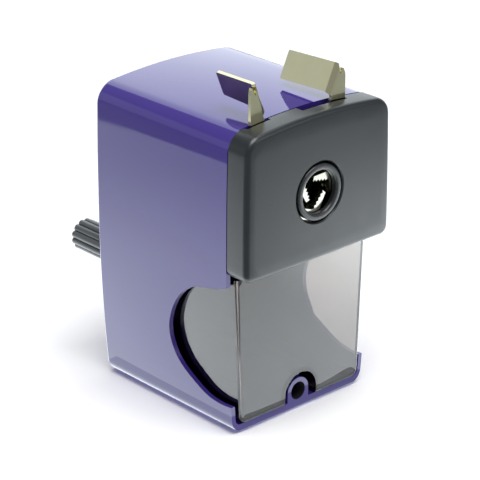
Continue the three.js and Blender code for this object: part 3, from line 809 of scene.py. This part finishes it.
# ---- carriage ------------------------------------------------------------
@dataclass
class Carriage:
    """The face plate and the ring round its pencil hole."""

    form: BodyForm
    axis: Pair
    plate_front_mm: float
    plate_rear_mm: float
    plate_bottom_mm: float = 60.4
    plate_inset_mm: float = 0.1
    plate_wall_mm: float = 1.9
    ring_radius_mm: float = 10.1
    hole_radius_mm: float = 7.75
    dish_radius_mm: float = 11.3
    rod_x_mm: float = 26.5
    rod_z_mm: float = 69.3

    def plate(self) -> Solid:
        """Build the face plate: a bowed lid with a dished recess and lever slots."""
        front, rear = self.plate_front_mm, self.plate_rear_mm
        half = self.form.half_width_mm - self.plate_inset_mm
        top = self.form.top_mm - self.plate_inset_mm
        wall, bottom = self.plate_wall_mm, self.plate_bottom_mm
        skin = self.form.rounded((-half, front, bottom), (half, rear, top), 3.4, 5.6, 1.9, front)
        hollow = self.form.rounded((-half + wall, front + wall, bottom + wall),
                                   (half - wall, rear + 1, top - wall), 1.6, 3.8, 0.5,
                                   front + wall)
        lid = skin.combined(cut=[hollow])
        wall_radius = self.dish_radius_mm - 0.6
        dish = [(0, front - 1), (self.dish_radius_mm + 0.5, front - 1),
                (self.dish_radius_mm, front), (wall_radius + 0.15, front + 0.45),
                (wall_radius, front + 1.0), (wall_radius, front + 4), (0, front + 4)]
        slots = [
            Solid.prism([(-3.5, 100), (18.2, 100), (18.2, 116), (-2.8, 116)], rear - 3.4,
                        rear + 2),
            Solid.block((-26.2, rear - 1.4, 100), (-15.6, rear + 2, 116)),
        ]
        bosses = [Solid.rod(3, front + 1.6, rear - 1.2, polar(self.axis, *screw), 32)
                  for screw in CHUCK_SCREWS]
        rod_bosses = [Solid.rod(3.5, front + 1.6, rear - 0.4,
                                (side * self.rod_x_mm, self.rod_z_mm), 32) for side in (-1, 1)]
        return lid.combined(add=bosses + rod_bosses,
                            cut=[Solid.turned(dish, self.axis, 96, closed=False), *slots])

    def bezel(self) -> Solid:
        """Build the ring round the pencil hole: a flat face between two rounded rims."""
        front = self.plate_front_mm
        inner, outer = self.hole_radius_mm, self.ring_radius_mm
        quarter = [math.pi / 2 * i / 8 for i in range(9)]
        rim, lip = 0.7, 0.85
        outside = [(outer - rim + rim * math.cos(t), front + rim - 0.15 - rim * math.sin(t))
                   for t in quarter]
        inside = [(inner + lip - lip * math.sin(t), front + lip - 0.15 - lip * math.cos(t))
                  for t in quarter]
        return Solid.turned([(outer, front + 1.9), *outside, *inside, (inner, front + 1.9)],
                            self.axis)

    def build(self) -> None:
        """Build and place the carriage's visible pieces."""
        place("face_plate", self.plate(), Finish.BLACK_ABS, "carriage", ["faceplate"],
              edge_mm=0.3)
        place("hole_bezel", self.bezel(), Finish.BEZEL_ABS, "carriage", ["pencil_bezel"])


@dataclass
class FingerLever:
    """A pressed sheet lever: hidden root, leg through the slot, and a pad bent to the back.

    Heights are counted from the chuck's axis. The sheet is drawn flat, with the bend's line
    along its own z, and is then folded round the leaning bend.
    """

    node: str
    body: str
    side: int
    axis: Pair
    leg_front_mm: float
    foot: Pair
    top_mm: float
    crest_mm: float
    outer_mm: float
    lean: float
    pad_rear_mm: float
    pad_low_mm: Pair
    pad_high_rear_mm: float
    sheet_mm: float = 1.2
    bend_mm: float = 1.5
    relief_mm: float = 3.6
    leg_drop_mm: float = 1.9

    def leg_place(self, x: float, z: float) -> Pair:
        """Return where a leg point (x from the middle, z from the axis) lies on the flat."""
        lean = math.radians(self.lean)
        dx, dz = x - self.foot[0], z - self.foot[1]
        across = dx * math.cos(lean) - dz * math.sin(lean)
        return self.bend_mm - across, dx * math.sin(lean) + dz * math.cos(lean)

    def pad_place(self, depth: float, z: float) -> Pair:
        """Return where a pad point (depth behind the leg, z from the axis) lies on the flat."""
        rise = (z - self.foot[1]) / math.cos(math.radians(self.lean))
        return self.bend_mm * math.pi / 2 + depth - self.bend_mm, rise

    def leg_top(self) -> Pair:
        """Return the flat place of the leg's inner top corner, just beside the bend."""
        lean = math.radians(self.lean)
        rise = self.leg_place(self.outer_mm, self.top_mm - self.leg_drop_mm)[1]
        return -0.55, rise + (self.outer_mm - self.foot[0]) * 0.05 + 1.2 * math.cos(lean)

    def fold(self, place: Vector) -> Vector:
        """Fold a flat point round the leaning bend."""
        lean = math.radians(self.lean)
        rise, across_leg = Vector((math.sin(lean), 0, math.cos(lean))), Vector(
            (math.cos(lean), 0, -math.sin(lean)))
        back = Vector((0, 1, 0))
        arc = self.bend_mm * math.pi / 2
        turn = min(max(place.x / self.bend_mm, 0.0), math.pi / 2)
        centre = (across_leg + back) * self.bend_mm
        point = centre - (back * math.cos(turn) + across_leg * math.sin(turn)) * self.bend_mm
        point += across_leg * max(-place.x, 0.0) + back * max(place.x - arc, 0.0)
        point += rise * place.z
        x = (self.foot[0] + point.x) * self.side
        return Vector((x, self.leg_front_mm + self.sheet_mm / 2 + point.y,
                       self.axis[1] + self.foot[1] + point.z))

    def leaf(self) -> Solid:
        """Build the leg and pad as one bent sheet."""
        arc = self.bend_mm * math.pi / 2
        top = self.top_mm
        crest = self.pad_place(self.bend_mm, self.crest_mm)[1]
        low_front, low_rear = self.pad_low_mm
        depth = self.pad_rear_mm - self.leg_front_mm
        outline = [
            (0.0, 0.0, 0), (*self.leg_place(self.outer_mm, self.foot[1]), 0),
            (*self.leg_place(self.outer_mm, top - self.leg_drop_mm), 0.9), (*self.leg_top(), 0.6),
            (-0.25, crest - self.relief_mm, 0.2), (arc * 0.45, crest - 0.1, 0.3),
            (*self.pad_place(depth, self.pad_high_rear_mm), 0.7),
            (*self.pad_place(depth, low_rear), 0.7),
            (*self.pad_place(self.bend_mm, low_front), 0.5),
            (0.0, self.pad_place(self.bend_mm, low_front)[1] - 0.9, 0.3),
        ]
        flat = Solid.sheet(outline)
        flat.slice((1, 0, 0), [arc * i / 8 for i in range(9)])
        return flat.warp(self.fold).outward().walled(self.sheet_mm, 0)

    def build(self, root: Solid) -> None:
        """Put the bent sheet and its hidden root in one mesh and place the lever."""
        place(f"{self.node}_sheet", gathered(root, self.leaf()), Finish.NICKEL, self.body,
              [self.node], edge_mm=0.22)


@dataclass
class Levers:
    """The moving lever with its cam ring and the fixed lever with its disc."""

    axis: Pair
    moving_front_mm: float
    fixed_front_mm: float
    ring_outer_mm: float = 14.5
    ring_inner_mm: float = 7.9
    disc_mm: float = 15.0
    collar_mm: float = 7.5
    bore_mm: float = 6.4
    sheet_mm: float = 1.2
    skim_mm: float = 0.03  # arms are this much inside the bent sheet's faces
    jaw_angles: Sequence[float] = (-10.0, 110.0, 230.0)

    def arm(self, side: int, corners: Sequence[Pair], front: float) -> Solid:
        """Build a lever's flat arm from its front-view corners, counted from the axis."""
        x, z = self.axis
        return Solid.prism([(x + side * a, z + b) for a, b in corners], front + self.skim_mm,
                           front + self.sheet_mm - self.skim_mm)

    def spoke(self, angle: float, half: float, reach: float, front: float, rear: float) -> Solid:
        """Build a straight bar from the axis outwards at an angle."""
        bar = Solid.block((0, front, -half), (reach, rear, half))
        turn = Matrix.Rotation(-math.radians(angle), 4, "Y")
        return bar.move(Matrix.Translation((self.axis[0], 0, self.axis[1])) @ turn)

    def moving_root(self) -> Solid:
        """Build the cam ring with its three notches and the arm."""
        front, rear = self.moving_front_mm, self.moving_front_mm + self.sheet_mm
        ring = Solid.turned([(self.ring_inner_mm, front), (self.ring_outer_mm, front),
                             (self.ring_outer_mm, rear), (self.ring_inner_mm, rear)], self.axis)
        arm = self.arm(1, [(9.2, 27.2), (17.2, 27.2), (16.8, 24.0), (9.4, 9.8), (2.2, 13.4)],
                       front)
        notches = [self.spoke(a, 1.3, 11.3, front - 1, rear + 1) for a in self.jaw_angles]
        clear = Solid.rod(self.ring_inner_mm, front - 1, rear + 1, self.axis, 96)
        return ring.combined(add=[arm], cut=[clear, *notches])

    def fixed_root(self) -> Solid:
        """Build the fixed disc with its collar, screw ears and arm."""
        front = self.fixed_front_mm
        rear = front + self.sheet_mm - 0.1
        disc = Solid.rod(self.disc_mm, front, rear, self.axis, 96)
        collar = Solid.rod(self.collar_mm, self.moving_front_mm - 0.4, rear - 0.02, self.axis, 96)
        arm = self.arm(-1, [(16.4, 26.8), (23.8, 26.8), (23.4, 24.5), (11.1, 7.9), (4.8, 12.7),
                            (16.3, 24.0)], front)
        ears, holes = [], []
        for reach, angle in CHUCK_SCREWS:
            centre = polar(self.axis, reach, angle)
            ears += [self.spoke(angle, 3, reach, front + 0.02, rear - 0.02),
                     Solid.rod(3, front + 0.01, rear - 0.01, centre, 40)]
            holes.append(Solid.rod(1.2, front - 2, rear + 2, centre, 24))
        bore = Solid.rod(self.bore_mm, front - 5, rear + 5, self.axis, 96)
        return disc.combined(add=[collar, arm, *ears], cut=[bore, *holes])

    def build(self) -> None:
        """Build both levers."""
        FingerLever("release_lever", "lever", 1, self.axis, self.moving_front_mm,
                    foot=(8.3, 26.5), top_mm=38.6, crest_mm=40.6, outer_mm=17.6, lean=25.0,
                    pad_rear_mm=self.moving_front_mm + 23.0, pad_low_mm=(31.0, 30.3),
                    pad_high_rear_mm=39.7).build(self.moving_root())
        FingerLever("fixed_lever", "carriage", -1, self.axis, self.fixed_front_mm,
                    foot=(15.5, 26.0), top_mm=40.4, crest_mm=41.2, outer_mm=24.1, lean=22.0,
                    pad_rear_mm=self.fixed_front_mm + 18.7, pad_low_mm=(31.2, 32.2),
                    pad_high_rear_mm=40.9).build(self.fixed_root())


@dataclass
class Knob:
    """The crank's finger knob with rounded flutes and a sunk pin head."""

    low: Vector
    high: Vector
    flutes: int = 12
    flute_mm: float = 0.95
    bore_mm: float = 2.15
    head_mm: float = 3.9
    head_depth_mm: float = 2.6
    rim_mm: float = 0.8

    def build(self) -> None:
        """Build and place the knob."""
        centre = ((self.low.x + self.high.x) / 2, (self.low.z + self.high.z) / 2)
        radius = (self.high.z - self.low.z) / 2
        steps = self.flutes * 14
        outline = []
        for i in range(steps):
            turn = 2 * math.pi * i / steps
            reach = radius - self.flute_mm * (1 - abs(math.sin(self.flutes * turn / 2)) ** 0.55)
            outline.append(polar(centre, reach, math.degrees(turn)))
        body = Solid.prism(outline, self.low.y, self.high.y)
        body.bevel(lambda e: abs(e.verts[0].co.y - e.verts[1].co.y) < 1e-5, self.rim_mm, 5)
        bore = Solid.rod(self.bore_mm, self.low.y - 1, self.high.y + 1, centre, 48)
        head = Solid.rod(self.head_mm, self.high.y - self.head_depth_mm, self.high.y + 1, centre, 64)
        place("finger_knob", body.combined(cut=[bore, head]), Finish.KNOB_ABS, "crank_knob",
              ["knob"])


@dataclass
class Springs:
    """Wound wire in place of the plain spring bodies."""

    wire_mm: float = 0.38
    lever_wire_mm: float = 0.25

    def feed(self, side: str) -> None:
        """Wind one feed spring, which the carriage squeezes as it is pulled out."""
        low, high = map(to_mm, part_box(f"feed_spring_{side}"))
        x, z = (low.x + high.x) / 2, (low.z + high.z) / 2
        radius = (high.x - low.x) / 2 - self.wire_mm
        coil = Solid.coil(self.wire_mm, radius, low.y + self.wire_mm, high.y - self.wire_mm, 17)
        coil.move(Matrix.Translation((x, 0, z)))
        piece = place(f"feed_coil_{side}", coil, Finish.STEEL, "housing",
                      [f"feed_spring_{side}"])
        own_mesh(piece)

    def lever(self) -> None:
        """Wind the lever's spring, which the moving lever squeezes."""
        low, high = map(to_mm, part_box("lever_spring"))
        y, z = (low.y + high.y) / 2, (low.z + high.z) / 2
        wire = self.lever_wire_mm
        coil = Solid.coil(wire, (high.y - low.y) / 2 - wire, low.x + wire, high.x - wire, 12)
        coil.move(Matrix.Translation((0, y, z)) @ Matrix.Rotation(-math.pi / 2, 4, "Z"))
        piece = place("lever_coil", coil, Finish.STEEL, "carriage", ["lever_spring"])
        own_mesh(piece)

    def build(self) -> None:
        """Build all three springs."""
        self.feed("left")
        self.feed("right")
        self.lever()


# ---- stage ---------------------------------------------------------------
@dataclass
class Studio:
    """Floor, light cards, lamps and camera."""

    floor_colour: str = "f4f4f4"
    aim_mm: Point = (1.9, -10.4, 53.8)
    azimuth: float = 42.5
    elevation: float = 23.1
    distance_mm: float = 771.0
    lens: float = 163.0
    table_turn: float = 147.5
    wall_turn: float = 42.0

    def camera(self) -> None:
        """Aim the camera from the front left, above."""
        data = bpy.data.cameras.new("camera")
        data.lens = self.lens
        data.sensor_width = 36
        data.clip_end = 50
        camera = show("camera", data)
        az, el = math.radians(self.azimuth), math.radians(self.elevation)
        look = Vector((math.sin(az) * math.cos(el), math.cos(az) * math.cos(el), -math.sin(el)))
        aim = Vector(self.aim_mm) * MM
        camera.location = aim - look * self.distance_mm * MM
        camera.rotation_euler = look.to_track_quat("-Z", "Y").to_euler()
        bpy.context.scene.camera = camera

    def flat(self, name: str, size: Pair, matrix: Matrix,
             material: Material) -> Piece:
        """Lay out a flat part of the stage, with half sizes in metres."""
        bm = bmesh.new()
        bmesh.ops.create_grid(bm, x_segments=1, y_segments=1, size=1)
        bmesh.ops.scale(bm, vec=(*size, 1), verts=bm.verts)
        bmesh.ops.transform(bm, matrix=matrix, verts=bm.verts)
        data = bpy.data.meshes.new(name)
        bm.to_mesh(data)
        bm.free()
        data.materials.append(material)
        laid = show(name, data)
        return laid

    def floor(self) -> None:
        """Lay a plain pale floor."""
        material = bpy.data.materials.new("pale_floor")
        material.use_nodes = True
        shader = material.node_tree.nodes["Principled BSDF"]
        shader.inputs["Base Color"].default_value = srgb(self.floor_colour)
        shader.inputs["Roughness"].default_value = 0.9
        shader.inputs["Specular IOR Level"].default_value = 0.0
        self.flat("floor", (6.0, 6.0), Matrix(), material)

    def card(self, name: str, size: Pair, matrix: Matrix,
             strength: Pair, colour: str = "f4fbff", soft: bool = False) -> None:
        """Add a card that only shows in reflections.

        Args:
            name: the card's name.
            size: half sizes along its own x and y, in metres.
            matrix: its place.
            strength: brightness over the room's middle and at the card's far end.
            colour: its colour.
            soft: whether it is a glow on top of what lies behind, gone at the card's edge.
        """
        material = bpy.data.materials.new(name)
        material.use_nodes = True
        tree = material.node_tree
        tree.nodes.remove(tree.nodes["Principled BSDF"])
        place = add_node(tree, "ShaderNodeTexCoord").outputs["Object"]
        middle = matrix.translation if soft else Vector()
        away = add_node(tree, "ShaderNodeVectorMath", {"operation": "SUBTRACT"}, _0=place,
                        _1=middle)
        reach = add_node(tree, "ShaderNodeVectorMath", {"operation": "LENGTH"},
                         _0=away.outputs["Vector"])
        fade = add_node(tree, "ShaderNodeMapRange", {"interpolation_type": "SMOOTHSTEP"},
                        Value=reach.outputs["Value"], From_Min=0.0 if soft else 0.05,
                        From_Max=max(size), To_Min=strength[0], To_Max=strength[1])
        glow = add_node(tree, "ShaderNodeEmission", Color=srgb(colour),
                        Strength=fade.outputs["Result"]).outputs["Emission"]
        if soft:
            clear = add_node(tree, "ShaderNodeBsdfTransparent")
            glow = add_node(tree, "ShaderNodeAddShader", _0=clear.outputs["BSDF"],
                            _1=glow).outputs["Shader"]
        tree.links.new(glow, tree.nodes["Material Output"].inputs["Surface"])
        card = self.flat(name, size, matrix, material)
        card.visible_camera = False
        card.visible_diffuse = False
        card.visible_shadow = False
        card.visible_transmission = False

    def lamp(self, name: str, spot: Point, target: Point, size: float, power: float) -> None:
        """Hang a square soft lamp that points at a target."""
        data = bpy.data.lights.new(name, "AREA")
        data.shape = "SQUARE"
        data.size = size
        data.energy = power
        lamp = show(name, data)
        lamp.location = spot
        look = Vector(target) - Vector(spot)
        lamp.rotation_euler = look.to_track_quat("-Z", "Y").to_euler()

    def build(self) -> None:
        """Set up the whole studio."""
        self.camera()
        self.floor()
        world = bpy.data.worlds.new("studio_air")
        world.use_nodes = True
        world.node_tree.nodes["Background"].inputs["Color"].default_value = srgb("f2f4f8")
        world.node_tree.nodes["Background"].inputs["Strength"].default_value = 0.45
        bpy.context.scene.world = world
        bpy.context.scene.view_settings.view_transform = "Standard"
        # The bright table top ends short of the wall, so gloss faces show where it stops.
        turn = Matrix.Rotation(math.radians(self.table_turn), 4, "Z")
        table = turn @ Matrix.Translation((0.005, -0.16, 0.0006))
        self.card("table_card", (0.304, 0.26), table, (3.4, 1.7))
        self.card("table_glow", (0.1, 0.1), Matrix.Translation((0.15, -0.13, 0.0012)),
                  (3.2, 0.0), soft=True)
        # The table is darker close to the base, and darkest right before the front lip.
        self.card("shade_card", (0.037, 0.036), Matrix.Translation((0, -0.006, 0.0009)),
                  (2.3, 2.3))
        self.card("lip_shade_card", (0.036, 0.005), Matrix.Translation((0, -0.047, 0.001)),
                  (1.2, 1.2))
        self.card("dim_floor_card", (4.0, 4.0), Matrix.Translation((0, 0, 0.0003)), (0.5, 0.5))
        aside = Matrix.Rotation(math.radians(-self.wall_turn), 4, "Z")
        wall = aside @ Matrix.Translation((0, 1.2, 0.9)) @ Matrix.Rotation(math.pi / 2, 4, "X")
        self.card("wall_card", (0.95, 0.9), wall, (2.0, 2.0))
        # A paler stretch of wall behind the left side, which the lever's pad looks into.
        beside = Matrix.Rotation(math.radians(45), 4, "Z")
        pale = beside @ Matrix.Translation((0, 1.2, 0.42)) @ Matrix.Rotation(math.pi / 2, 4, "X")
        self.card("pale_wall_card", (0.42, 0.24), pale, (0.8, 0.8))
        self.lamp("overhead", (-0.1, -0.25, 1.4), (0, 0, 0), 1.1, 24)
        self.lamp("front_fill", (0.7, -1.3, 0.7), (0, 0, 0.05), 0.7, 3)


# ---- assembly ------------------------------------------------------------
def to_mm(corner: Vector) -> Vector:
    """Turn a frame corner to millimetres."""
    return Vector(corner) / MM


def main() -> None:
    """Build every sub-assembly in order."""
    logging.basicConfig(level=logging.INFO, format="%(name)s: %(message)s")
    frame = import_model()
    nodes = frame["nodes"]
    shell_low, _ = map(to_mm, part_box("housing_shell"))
    plate_low, plate_high = map(to_mm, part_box("faceplate"))
    drawer_low, drawer_high = map(to_mm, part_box("drawer"))
    shaft_low, shaft_high = map(to_mm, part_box("bearing_bush"))
    axis = ((shaft_low.x + shaft_high.x) / 2, (shaft_low.z + shaft_high.z) / 2)

    Studio().build()
    form = BodyForm(front_mm=shell_low.y)
    Housing(form, axis).build()
    Drawer(drawer_low, drawer_high).build()
    Carriage(form, axis, plate_low.y, plate_high.y).build()
    lever_low, _ = map(to_mm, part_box("release_lever"))
    disc_low, _ = map(to_mm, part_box("fixed_lever"))
    Levers(axis, lever_low.y, disc_low.y + COLLAR_REACH_MM).build()
    Springs().build()
    Knob(*map(to_mm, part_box("knob"))).build()

    sides = ("left", "right")
    dress(nodes, ["crank_nut"], Finish.NICKEL)
    dress(nodes, ["mechanism_frame", "rear_bearing_cap", "crank_arm"], Finish.PLAIN_BLACK_ABS)
    dress(nodes, [f"{n}_{s}" for s in sides for n in (
        "frame_screw", "cap_screw", "guide_rod", "rod_clip")], Finish.STEEL)
    dress(nodes, [f"jaw_{i}" for i in (1, 2, 3)], Finish.HARD_STEEL)
    dress(nodes, [f"{n}_{i}" for i in (1, 2, 3) for n in ("jaw_pin", "chuck_screw")],
          Finish.STEEL)
    dress(nodes, ["cutter_axle", "helical_cutter", "cutter_pinion", "knob_pin"],
          Finish.STEEL)
    dress(nodes, ["cutter_carrier"], Finish.DIE_CAST)
    dress(nodes, ["bearing_bush"], Finish.BRONZE)
    dress(nodes, ["ring_gear"], Finish.ACETAL)
    dress(nodes, [f"foot_{e}_{s}" for e in ("front", "rear") for s in sides], Finish.RUBBER)


if __name__ == "__main__":
    main()
